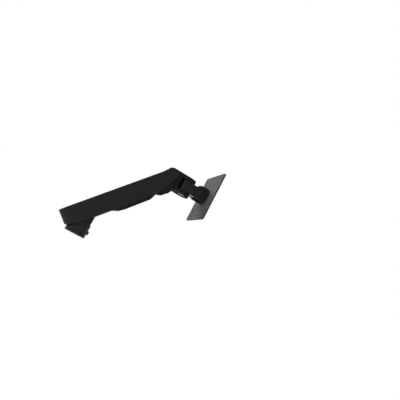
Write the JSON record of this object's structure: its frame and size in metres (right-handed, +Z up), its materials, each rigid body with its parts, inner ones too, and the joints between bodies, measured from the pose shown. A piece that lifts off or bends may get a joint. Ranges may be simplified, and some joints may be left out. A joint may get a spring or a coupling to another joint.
{
  "type": "monitor arm",
  "caption": "Spring-balanced screen arm: post hub, parallel-link lifting arm, swivel and tilt head, and a turning square screen plate.",
  "frame": {"origin": "centre of the post socket's mouth, on the hub's flat underside", "axes": "+Z up along the post, +X from the post towards the screen plate, +Y across the arm"},
  "size_m": [0.281, 0.12, 0.2805],
  "materials": {
    "painted_casting": "fine satin powder coat, charcoal",
    "cover_plastic": "fine moulded grain, charcoal",
    "plate_steel": "satin powder coat, mid grey",
    "bearing_plastic": "smooth acetal",
    "cylinder_paint": "gloss black paint",
    "rod_chrome": "hard chrome, polished",
    "fastener_steel": "black-zinc plated, lightly worn"
  },
  "bodies": {
    "post_hub": {"hub_body": "painted_casting", "post_bush": "bearing_plastic", "friction_screw": "fastener_steel", "lift_pivot_bushes": "bearing_plastic", "roller_pin": "fastener_steel", "thrust_roller": "fastener_steel", "link_pivot_screws": "fastener_steel"},
    "spring_arm": {"arm_housing": "painted_casting", "lift_pivot_screws": "fastener_steel", "head_pivot_screws": "fastener_steel", "gas_cylinder": "cylinder_paint", "cylinder_saddle": "cover_plastic", "adjuster_block": "painted_casting", "tension_screw": "fastener_steel", "tension_nut": "fastener_steel"},
    "gas_strut": {"gas_rod": "rod_chrome", "rod_piston": "fastener_steel", "thrust_plate": "fastener_steel"},
    "lower_link": {"link_side_plates": "painted_casting", "link_bushes": "bearing_plastic", "link_cover": "cover_plastic", "cover_screws": "fastener_steel"},
    "head": {"head_bracket": "painted_casting", "head_pivot_bushes": "bearing_plastic", "link_end_screws": "fastener_steel", "pan_bolt": "fastener_steel", "pan_nut": "fastener_steel"},
    "neck": {"swivel_neck": "painted_casting", "pan_bushes": "bearing_plastic", "pan_washers": "bearing_plastic", "tilt_friction_washers": "bearing_plastic"},
    "tilt_head": {"tilt_knuckle": "painted_casting", "tilt_bolt": "fastener_steel", "tilt_disc_springs": "fastener_steel", "tilt_nut": "fastener_steel", "rotation_washer": "bearing_plastic", "stop_pin": "fastener_steel", "rotation_screw": "fastener_steel"},
    "screen_plate": {"screen_plate": "plate_steel"}
  },
  "joints": [
    {"name": "lift", "type": "hinge", "parent": "post_hub", "child": "spring_arm", "pos_m": [0, 0, 0.074], "axis": [0, 1, 0], "range_deg": [0, 75]},
    {"name": "gas_stroke", "type": "slide", "parent": "spring_arm", "child": "gas_strut", "axis": [0.6361, 0, 0.7716], "range_m": [0, 0.0345]},
    {"name": "link_swing", "type": "hinge", "parent": "post_hub", "child": "lower_link", "pos_m": [-0.004, 0, 0.054], "axis": [0, 1, 0], "range_deg": [0, 75]},
    {"name": "head_level", "type": "hinge", "parent": "spring_arm", "child": "head", "pos_m": [0.12448, 0, 0.22501], "axis": [0, 1, 0], "range_deg": [-75, 0]},
    {"name": "pan", "type": "hinge", "parent": "head", "child": "neck", "pos_m": [0.16848, 0, 0.2177], "axis": [0, 0, 1], "range_deg": [-90, 90]},
    {"name": "tilt", "type": "hinge", "parent": "neck", "child": "tilt_head", "pos_m": [0.20498, 0, 0.22051], "axis": [0, 1, 0], "range_deg": [-45, 20]},
    {"name": "rotate", "type": "hinge", "parent": "tilt_head", "child": "screen_plate", "pos_m": [0.22398, 0, 0.22051], "axis": [1, 0, 0], "range_deg": [-90, 90]}
  ],
  "couplings": [
    {"joint": "gas_stroke", "follows": "lift", "m_per_rad": 0.02594},
    {"joint": "link_swing", "follows": "lift", "ratio": 1},
    {"joint": "head_level", "follows": "lift", "ratio": -1}
  ]
}
